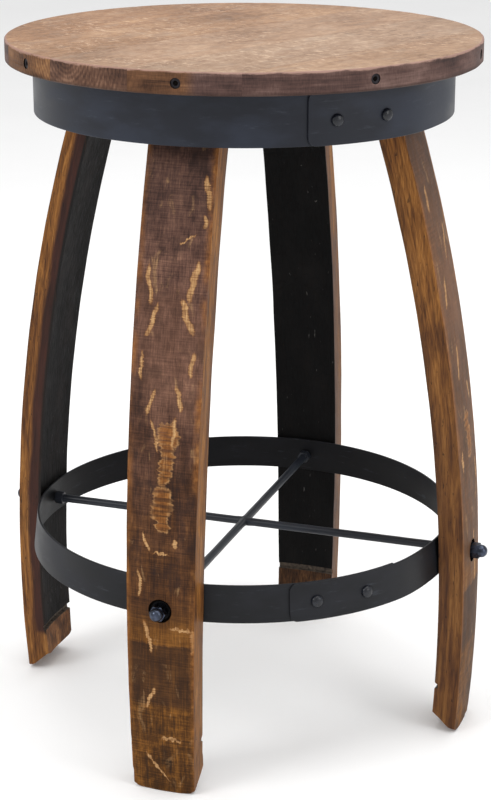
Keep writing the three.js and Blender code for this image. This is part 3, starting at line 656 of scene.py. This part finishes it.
# Wide patches of each leg, in the same terms as a single mark.
PATCHES = {
    "front": ((4, 342, 8, 10, 0), (3, 320, 5, 22, 0), (1, 280, 8, 14, 0), (1, 264, 5, 9, 0)),
    "right": ((0, 310, 6, 9, 0), (3, 290, 5, 14, 0.1)),
    "back": ((-4, 340, 7, 8, 0), (-6, 322, 5, 16, -0.1)),
    "left": ((2, 355, 7, 7, 0), (4, 338, 5, 13, 0.1)),
}
# burnt: how far the char reaches into the sawn edge. dull: how far that edge darkens downwards.
# purple and wash: the outer face's colour. char and end: how light the inside and the bare end are; below
# 1 they darken them as painted shade, most on the back leg.
Tone = namedtuple("Tone", "burnt dull purple wash char end")
TONES = {
    "front": Tone(0.25, 0.1, 1.0, 0.0, 0.9, 1.0),
    "right": Tone(0.25, 0.5, 0.35, 0.2, 0.9, 1.0),
    "back": Tone(0.5, 0.55, 0.9, 0.0, 0.5, 0.65),
    "left": Tone(1.0, 0.1, 0.8, 0.1, 1.0, 1.0),
}
OUTER, SIDE, INNER, END, WALL, DUST = range(6)  # a leg's materials


def front_marks():
    """The single marks and both marks of each pair. The left one is a little lower and thinner."""
    marks = list(FRONT_SINGLES)
    for height, apart, half_w, half_l, lean in FRONT_PAIRS:
        marks.append((apart, height, half_w, half_l, lean))
        marks.append((-apart, height - 5, half_w * 0.75, half_l, -lean))
    return marks


def stray_marks(seed):
    """Marks for the other legs: one every 45 mm or so, here and there across the face."""
    draw = random.Random(seed)
    return [(draw.uniform(-23, 23), 110 + 45 * i + draw.uniform(-14, 14), draw.uniform(1.1, 2.4),
             draw.uniform(7, 16), draw.uniform(-0.3, 0.3)) for i in range(10)]


def leg_looks(side, number):
    """The six materials of a leg, in the order of OUTER, SIDE and so on."""
    marks = front_marks() if side == "front" else stray_marks(number)
    tone = TONES[side]
    return [
        stave_face(f"leg_{side}_face", number, marks, PATCHES[side], tone.purple, tone.wash),
        stave_side(f"leg_{side}_edge", number, tone.burnt, tone.dull),
        charred(f"leg_{side}_char", number, tone.char),
        chime_wood(f"leg_{side}_end", number, tone.end),
        POCKET_PAINTED_SHADE,
        GROOVE,
    ]


def stave_point(a, d, level, seed):
    """A point of the stave: a is -1 to 1 across, and d 0 to 1 from the outer face to the inner one."""
    rise = max(0.0, d * THICK - FOOT_LAND) / (THICK - FOOT_LAND) * FOOT_RISE
    z = rise + level * (TOP_Z - rise) / TOP_Z
    if level < 4 * MM:  # the foot is worn round at its corners
        z += (abs(a) ** 10) * 3.5 * MM * (1 - level / (4 * MM))
    r_out, r_in = outer_r(z), inner_r(z)
    r = r_out + (r_in - r_out) * d
    # widest, 67 mm, at a height of 400 mm, and 7 mm less at the floor
    width = (67 - 7 * ((z / MM - 400) / 400) ** 2) * MM
    x = a * width / 2
    r -= 1.7 * MM * a * a
    # uneven arrises, more so in the lowest 60 mm
    near = max(0.0, 1 - z / (60 * MM))
    wave = noise.noise(Vector((seed * 9.1 + (3 if a > 0 else 0), z * 22, d * 1.5)))
    chip = max(0.0, noise.noise(Vector((seed * 5.3 + a * 2, z * 90, d * 3 + seed))) - 0.25)
    if abs(a) > 0.85:
        x -= math.copysign((0.45 + 1.1 * near) * MM * (0.5 + wave) + chip * 3.5 * near * MM, a)
    # ripples on both faces
    ripple = noise.noise(Vector((x * 70, z * 30, seed * 3.7 + d)))
    if d in (0.0, 1.0):
        r += (0.25 * MM * ripple - 0.25 * MM) * (1 if d == 0.0 else -1)
        if z < 12 * MM and d == 0.0:
            r -= max(0.0, ripple) * 2.0 * MM * (1 - z / (12 * MM))
    if d == 1.0 and GROOVE_Z < z < GROOVE_Z + GROOVE_W:
        r += GROOVE_D * 0.9
    if level == 0:
        z += max(0.0, noise.noise(Vector((x * 60, seed * 2.2, 7.7)))) * 1.2 * MM
    return x, -r, max(z, 0.0)


def stave_levels():
    """Heights of the loops: 2 mm apart low down, 6 mm above, and four at the groove's lips."""
    lips = []
    for lip, inside in ((GROOVE_Z, 1), (GROOVE_Z + GROOVE_W, -1)):
        for z in (lip - inside * 0.05 * MM, lip + inside * 0.5 * MM):
            lips.append((z - FOOT_RISE) * TOP_Z / (TOP_Z - FOOT_RISE))
    levels = [i * 2.0 * MM for i in range(34)] + [68 * MM + i * 6 * MM for i in range(1, 92)]
    levels = [z for z in levels if z < TOP_Z - 2 * MM and min(abs(z - g) for g in lips) > 0.9 * MM]
    return sorted(levels + lips + [TOP_Z])


def inner_kind(z):
    """The inner face's material at a height: bare below the groove, dusty in it, charred above."""
    if z < GROOVE_Z:
        return END
    return DUST if z < GROOVE_Z + GROOVE_W else INNER


def stave_mesh(seed):
    """A leg in its own place at the front: a loop round the stave at each of many heights."""
    across_n, deep_n = 16, 7
    # the loop: place across, depth, material
    loop = [(-1 + 2 * i / across_n, 0.0, OUTER) for i in range(across_n)]
    loop += [(1.0, j / deep_n, SIDE) for j in range(deep_n)]
    loop += [(1 - 2 * i / across_n, 1.0, INNER) for i in range(across_n)]
    loop += [(-1.0, 1 - j / deep_n, SIDE) for j in range(deep_n)]
    bm = bmesh.new()
    rings = [[bm.verts.new(stave_point(a, d, level, seed)) for a, d, _ in loop]
             for level in stave_levels()]
    for low, high in zip(rings, rings[1:]):
        for i, (_, _, kind) in enumerate(loop):
            j = (i + 1) % len(loop)
            face = bm.faces.new((low[i], low[j], high[j], high[i]))
            if kind == INNER:
                kind = inner_kind((low[i].co.z + high[i].co.z) / 2)
            face.material_index = kind
    for ring in (list(reversed(rings[0])), rings[-1]):
        bm.faces.new(ring).material_index = END
    bmesh.ops.recalc_face_normals(bm, faces=bm.faces)
    return bm


def drill(obj, radius, near, far, z, sides, angle, wall):
    """Cuts a round hole from near to far outwards, with material number wall on its own wall."""
    bm = turned([(0, near), (radius, near), (radius, far), (0, far)], sides)
    move(bm, z=z)
    spin(bm, angle)
    for f in bm.faces:
        f.material_index = wall
    mesh = bpy.data.meshes.new("drill")
    bm.to_mesh(mesh)
    bm.free()
    for m in obj.data.materials:
        mesh.materials.append(m)
    tool = bpy.data.objects.new("drill", mesh)
    bpy.context.scene.collection.objects.link(tool)
    mod = obj.modifiers.new("drill", "BOOLEAN")
    mod.operation = "DIFFERENCE"
    mod.object = tool
    mod.solver = "EXACT"
    bpy.context.view_layer.update()
    cut = bpy.data.meshes.new_from_object(obj.evaluated_get(bpy.context.evaluated_depsgraph_get()))
    obj.modifiers.clear()
    obj.data = cut
    bpy.data.objects.remove(tool)


for number, (side, turn) in enumerate(LEGS, start=1):
    looks = leg_looks(side, number)
    leg = make(f"stave_leg_{side}", stave_mesh(number), looks, slot="leg_wood", replaces=[f"leg_{side}"])
    drill(leg, POCKET_R, FACE_R - POCKET_DEPTH, FACE_R + 20 * MM, ROD_Z, 64, 0, WALL)
    drill(leg, BORE_R, FACE_R - 60 * MM, FACE_R + 5 * MM, ROD_Z, 32, 0, WALL)  # right through
    ease_edges(leg, 1.1 * MM, 3, 50)
    smooth(leg, 50)
    settle(leg, turn)


# ---------------------------------------------------------------- seat boards
BOARD_TOP, BOARD_EDGE, BOARD_HOLE = range(3)  # a board's materials
ROUNDING = 1.9 * MM  # of the seat's upper corner
UNDERCUT = 1 * MM  # of its lower one


def seat_outline():
    """The rim's (radius, height) from the underside up over the rounded upper corner."""
    base = HEIGHT - SEAT_T
    outline = [(SEAT_R - UNDERCUT, base), (SEAT_R, base + UNDERCUT)]
    outline += [(SEAT_R, base + SEAT_T * f) for f in (0.3, 0.55, 0.75)]
    outline += [(SEAT_R - ROUNDING * (1 - math.cos(t)), HEIGHT - ROUNDING * (1 - math.sin(t)))
                for t in (math.radians(d) for d in (0, 18, 36, 54, 72, 90))]
    return outline


def rim_point(r, z, a):
    """A point of the rim at angle a, slightly wavy and with nicks along the upper corner."""
    wave = noise.noise(Vector((math.cos(a) * 14, math.sin(a) * 14, z * 60)))
    nick = max(0.0, noise.noise(Vector((math.cos(a) * 30, math.sin(a) * 30, 3.3))) - 0.3)
    out = r - 0.25 * MM + 0.25 * MM * wave - (1.6 * MM * nick if z > HEIGHT - ROUNDING * 0.9 else 0)
    up = z - (0.5 * MM * nick if z > HEIGHT - ROUNDING * 0.5 else 0)
    return out * math.cos(a), out * math.sin(a), up


def seat_board(low, high):
    """One board of the seat, cut from a round, eased disc. Local Y runs along the board."""
    sides = 320
    bm = bmesh.new()
    rings = [[bm.verts.new(rim_point(r, z, 2 * math.pi * i / sides)) for i in range(sides)]
             for r, z in seat_outline()]
    for a, b in zip(rings, rings[1:]):
        for i in range(sides):
            j = (i + 1) % sides
            bm.faces.new((a[i], a[j], b[j], b[i])).material_index = BOARD_EDGE
    bm.faces.new(rings[-1]).material_index = BOARD_TOP
    bm.faces.new(list(reversed(rings[0]))).material_index = BOARD_EDGE
    for at, sign in ((low, -1), (high, 1)):
        geom = bm.verts[:] + bm.edges[:] + bm.faces[:]
        cut = bmesh.ops.bisect_plane(bm, geom=geom, plane_co=(at, 0, 0), plane_no=(sign, 0, 0),
                                     clear_outer=True, dist=1e-7)
        rim = [g for g in cut["geom_cut"] if isinstance(g, bmesh.types.BMEdge)]
        if rim:
            for f in bmesh.ops.edgeloop_fill(bm, edges=rim)["faces"]:
                f.material_index = BOARD_EDGE
    bmesh.ops.recalc_face_normals(bm, faces=bm.faces)
    return bm


# each board's tint, and how plum its rim is left and right of the colour break
BOARDS = (
    ((0.96, 0.9, 0.82), 0.9, 0.9),
    ((0.97, 0.93, 0.87), 0.05, 0.05),
    ((1.0, 1.0, 1.0), 0.55, 0.55),
    ((0.98, 1.0, 1.02), 0.2, 0.9),
    ((1.0, 1.0, 0.99), 0.9, 0.9),
)
limits = [-240, *BOARD_JOINTS, 240]  # mm, past the rim at both ends
for number, (low, high) in enumerate(zip(limits, limits[1:]), start=1):
    tint, left_dark, right_dark = BOARDS[number - 1]
    looks = [seat_top_look(f"seat_top_{number}", number * 0.73, tint),
             seat_edge_look(f"seat_edge_{number}", number * 1.37, left_dark, right_dark), POCKET_PAINTED_SHADE]
    bm = spin(seat_board((low + JOINT_GAP) * MM, (high - JOINT_GAP) * MM), BOARD_TURN)
    board = make(f"oak_board_{number}", bm, looks, slot="seat_wood", replaces=[f"seat_board_{number}"])
    for i in range(EDGE_SCREWS):
        angle = EDGE_SCREW_START + 360 / EDGE_SCREWS * i
        across = SEAT_R / MM * math.sin(math.radians(angle - BOARD_TURN))
        if low - 6 < across < high + 6:  # a hole at a joint is cut in both boards
            drill(board, HOLE_R, SEAT_R - HOLE_DEPTH, SEAT_R + 5 * MM, SEAT_MID, 40, angle, BOARD_HOLE)
    smooth(board, 30)
    settle(board)

# ---------------------------------------------------------------- hoops
LAP = 31  # degrees that a hoop's outer end laps over its inner one
EASE_BACK = 17  # degrees after the lap in which the band comes back inwards
LAP_CORNER = 7 * MM  # radius of the outer end's corners


def hoop_columns(hoop, rows):
    """Columns of (way outwards, radius, height) along the middle of the band, from its outer end."""
    turns = [0.0, 0.25, 0.55, 0.9, 1.3, 1.8, 2.4]
    turns += [3.2 + (360 + LAP - 3.2) * i / 190 for i in range(191)]
    columns = []
    for t in turns:
        past = min(max((t - LAP) / EASE_BACK, 0), 1)
        ease = past * past * (3 - 2 * past)
        r = hoop.radius - STRIP / 2 + (STRIP + GAP) * (1 - ease)
        s = math.radians(t) * hoop.radius
        trim = 0.0
        if s < LAP_CORNER:
            trim = LAP_CORNER - math.sqrt(max(LAP_CORNER ** 2 - (LAP_CORNER - s) ** 2, 0))
        way = outward(hoop.lap_start + t)
        column = []
        for row in range(rows):
            z = hoop.bottom + trim + (hoop.top - hoop.bottom - 2 * trim) * row / (rows - 1)
            lean = hoop.spread * (1 - 2 * (z - hoop.bottom) / (hoop.top - hoop.bottom))
            dent = 0.18 * MM * noise.noise(Vector((way.x * 4, way.y * 4, z * 12 + hoop.radius * 50)))
            column.append((way, r + lean + dent, z))
        columns.append(column)
    return columns


def skin(bm, columns, offset):
    """The columns' points, moved outwards by offset."""
    return [[bm.verts.new((way.x * (r + offset), way.y * (r + offset), z)) for way, r, z in column]
            for column in columns]


def strip_hoop(hoop):
    """A band with paint 0, and paint 1 on its inner face, a darker copy of paint 0 as painted shade. The
    outer end has rounded corners.
    """
    rows = 9
    columns = hoop_columns(hoop, rows)
    bm = bmesh.new()
    outer = skin(bm, columns, STRIP / 2)
    inner = skin(bm, columns, -STRIP / 2)
    last = len(columns) - 1
    for i in range(last):
        for j in range(rows - 1):
            bm.faces.new((outer[i][j], outer[i + 1][j], outer[i + 1][j + 1], outer[i][j + 1]))
            back = bm.faces.new((inner[i][j], inner[i][j + 1], inner[i + 1][j + 1], inner[i + 1][j]))
            back.material_index = 1
        for j in (0, rows - 1):
            bm.faces.new((outer[i][j], inner[i][j], inner[i + 1][j], outer[i + 1][j]))
    for i in (0, last):
        for j in range(rows - 1):
            bm.faces.new((outer[i][j], outer[i][j + 1], inner[i][j + 1], inner[i][j]))
    bmesh.ops.recalc_face_normals(bm, faces=bm.faces)
    return bm


def rivet():
    """A peened rivet: slightly flattened dome outside, with a shank through the lap."""
    outline = [(0, -6.2), (3.2, -6.2), (3.9, -5.6), (3.9, -4.75), (2.4, -4.7), (2.4, 0.15)]
    outline += [(5.6, 0.15), (5.65, 0.7), (5.4, 1.7), (4.8, 2.6), (3.8, 3.3), (2.5, 3.75)]
    outline += [(1.1, 3.95), (0, 4.0)]
    return turned([(r * MM, h * MM) for r, h in outline], 40)


settle(make("apron_band", strip_hoop(APRON), [APRON_PAINT, HOOP_INSIDE_PAINTED_SHADE], bevel=0.45 * MM, slot="steel",
            replaces=["apron_hoop"]))
settle(make("footrest_band", strip_hoop(FOOT), [HOOP_PAINT, HOOP_INSIDE_PAINTED_SHADE], bevel=0.45 * MM, slot="steel",
            replaces=["footrest_hoop"]))
# the angles of each hoop's two rivets, and how far below its middle they sit
for name, hoop, angles, drop in (
        ("apron", APRON, (42.5, 57.2), 2 * MM),
        ("footrest", FOOT, (37.4, 51.5), 0.0)):
    lean = -math.atan(2 * hoop.spread / (hoop.top - hoop.bottom))
    for number, angle in enumerate(angles, start=1):
        bm = spin(rivet(), math.degrees(lean), "X")
        move(bm, y=-(hoop.radius + STRIP + GAP), z=(hoop.bottom + hoop.top) / 2 - drop)
        settle(make(f"{name}_dome_rivet_{number}", bm, [RIVET_PAINT], slot="steel",
                    replaces=[f"{name}_rivet_{number}"]), angle)


# ---------------------------------------------------------------- rods, nuts and washers
def hex_prism(flats, length, chamfer):
    """A hexagon nut along -Y, with its corners cut back by a cone at both ends."""
    sides, steps, slope = 72, 8, 1.5
    corner = flats / math.sqrt(3)
    depths = [chamfer / slope * i / steps for i in range(steps + 1)]
    levels = [(d, d) for d in depths] + [(length - d, d) for d in reversed(depths)]
    bm = bmesh.new()
    rings = []
    for at, depth in levels:
        ring = []
        for i in range(sides):
            a = 2 * math.pi * i / sides
            flat = flats / 2 / math.cos(a % (math.pi / 3) - math.pi / 6)
            r = min(flat, corner - chamfer + slope * depth)
            ring.append(bm.verts.new((r * math.cos(a), -at, r * math.sin(a))))
        rings.append(ring)
    return bridged(bm, rings)


def flat_washer():
    """A ring with its outer edges eased."""
    hole, rim, ease = 4.3 * MM, 9 * MM, 0.3 * MM
    return turned([(hole, 0), (rim - ease, 0), (rim, ease), (rim, WASHER_T - ease),
                   (rim - ease, WASHER_T), (hole, WASHER_T), (hole, 0)], 48)


def acorn_nut():
    """A hexagon with a dome sunk 0.8 mm into its outer end."""
    bm = hex_prism(NUT_FLATS, NUT_LENGTH, 0.9 * MM)
    dome = turned([(r * MM, NUT_LENGTH + h * MM) for r, h in (
        (0, -0.8), (6.1, -0.8), (6.1, 1.6), (5.9, 2.8), (5.3, 4.2), (4.3, 5.4), (3.0, 6.3),
        (1.5, 6.85), (0, 7.0))], 48)
    mesh = bpy.data.meshes.new("joined")
    dome.to_mesh(mesh)
    dome.free()
    bm.from_mesh(mesh)
    return bm


washer_r = FACE_R - POCKET_DEPTH + GAP / 2
nut_r = washer_r + WASHER_T + GAP / 2
lock_r = FOOT.radius - STRIP - 0.9 * MM - LOCK_LENGTH
for side, turn in LEGS:
    # the washer is painted near black as painted shade in its pocket
    bm = move(flat_washer(), y=-washer_r, z=ROD_Z)
    settle(make(f"flat_washer_{side}", bm, [DULL_BLACK], slot="fixing", replaces=[f"washer_{side}"]), turn)
    bm = move(acorn_nut(), y=-nut_r, z=ROD_Z)
    settle(make(f"acorn_nut_{side}", bm, [NUT_BLACK], smooth_deg=30, slot="fixing",
                replaces=[f"dome_nut_{side}"]), turn)
    bm = move(hex_prism(LOCK_FLATS, LOCK_LENGTH, 0.7 * MM), y=-lock_r, z=ROD_Z)
    settle(make(f"lock_nut_{side}", bm, [ROD_PAINT], smooth_deg=30, slot="fixing",
                replaces=[f"inner_nut_{side}"]), turn)


def round_rod(length, seed):
    """A drawn rod with a slight unevenness, and a weld fillet where the two rods meet."""
    bm = bmesh.new()
    sides, steps = 28, 160
    rings = []
    for i in range(steps + 1):
        t = -length / 2 + length * i / steps
        near = math.exp(-(t / (5.5 * MM)) ** 2)
        ring = []
        for j in range(sides):
            a = 2 * math.pi * j / sides
            lump = 0.12 * MM * noise.noise(Vector((t * 60 + seed, math.cos(a), math.sin(a))))
            rough = noise.noise(Vector((t * 300, math.cos(a) * 2, math.sin(a) * 2 + seed)))
            blob = near * 1.1 * MM * (0.7 + rough)
            r = ROD_R + lump - 0.08 * MM + blob
            ring.append(bm.verts.new((r * math.cos(a), t, ROD_Z + r * math.sin(a))))
        rings.append(ring)
    return bridged(bm, rings)


rod_length = 2 * (nut_r + 10 * MM)
settle(make("welded_rod_side_to_side", round_rod(rod_length, 1.0), [ROD_PAINT], slot="steel",
            replaces=["cross_rod_side_to_side"]), 90)
settle(make("welded_rod_front_to_back", round_rod(rod_length, 5.0), [ROD_PAINT], slot="steel",
            replaces=["cross_rod_front_to_back"]), 0)

# ---------------------------------------------------------------- screws in the edge of the seat
# radius, and depth below the head's rim: the point, shank and countersink, then the recess
SCREW = ((0, 18), (1.8, 15), (1.8, 4), (4.2, 0.9), (4.3, 0.4), (4.0, 0), (2.3, 0.1), (1.7, 1.2),
         (0.9, 2.4), (0, 2.6))
for i in range(EDGE_SCREWS):
    bm = turned([(r * MM, SCREW_HEAD - depth * MM) for r, depth in SCREW], 40)
    settle(make(f"countersunk_screw_{i + 1}", move(bm, z=SEAT_MID), [SCREW_BLACK], smooth_deg=50,
                slot="fixing", replaces=[f"edge_screw_{i + 1}"]), EDGE_SCREW_START + 360 / EDGE_SCREWS * i)

# ---------------------------------------------------------------- carried-over CAD pieces
CARRIED_LOOKS = {
    "support_disc": plain_wood("disc_wood", (168, 134, 92), "x"),
    "rail_side_to_side": plain_wood("rail_wood_a", (150, 112, 70), "x"),
    "rail_front_to_back": plain_wood("rail_wood_b", (150, 112, 70), "y"),
}
for name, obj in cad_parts.items():
    obj.data.materials.clear()
    obj.data.materials.append(CARRIED_LOOKS.get(name, DULL_BLACK))


# ---------------------------------------------------------------- floor, light and camera
def floor_look():
    k = Look("floor_paint", roughness=0.8, specular=0.2)
    cloud = k.noise(k.stretch(0.002, 0.002, 0.002))
    return k.finish(k.ramp(cloud, (0.3, srgb(250, 250, 250)), (0.7, srgb(253, 253, 253))))


def softbox(name, place, target, size, power):
    data = bpy.data.lights.new(name, "AREA")
    data.energy = power
    data.shape = "RECTANGLE"
    data.size, data.size_y = size
    lamp = bpy.data.objects.new(name, data)
    lamp.location = place
    lamp.rotation_euler = (Vector(target) - Vector(place)).to_track_quat("-Z", "Y").to_euler()
    bpy.context.scene.collection.objects.link(lamp)


bpy.ops.mesh.primitive_plane_add(size=14, location=(0, 0, -0.0005))
floor = bpy.context.object
floor.name = "studio_floor"
floor.data.materials.append(floor_look())
floor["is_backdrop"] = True

world = bpy.data.worlds.new("studio")
bpy.context.scene.world = world
world.use_nodes = True
background = world.node_tree.nodes["Background"]
background.inputs["Color"].default_value = (1.0, 1.0, 1.0, 1)
background.inputs["Strength"].default_value = 0.8

softbox("key_left", (-1.6, -2.2, 2.2), (0, 0, 0.4), (1.1, 1.1), 24)
softbox("fill_right", (2.6, -0.8, 1.4), (0, 0, 0.35), (1.0, 1.6), 14)
softbox("top", (0.2, 0.2, 2.6), (0, 0, 0.0), (2.4, 2.4), 40)

# fitted to the photo: degrees round from the front, and degrees downwards
CAMERA_AZIMUTH, CAMERA_TILT = 19.01, 18.505
cam_data = bpy.data.cameras.new("camera")
camera = bpy.data.objects.new("camera", cam_data)
bpy.context.scene.collection.objects.link(camera)
bpy.context.scene.camera = camera
back = outward(CAMERA_AZIMUTH) * math.cos(math.radians(CAMERA_TILT))
back.z = math.sin(math.radians(CAMERA_TILT))
camera.location = (0.6193, -1.7975, 0.9350)
camera.rotation_mode = "QUATERNION"
camera.rotation_quaternion = (-back).to_track_quat("-Z", "Y")
cam_data.lens = 92.89
cam_data.shift_x = 0.0016
cam_data.shift_y = 0.0100
cam_data.clip_end = 50
bpy.context.scene.view_settings.view_transform = "Standard"

low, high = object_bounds()
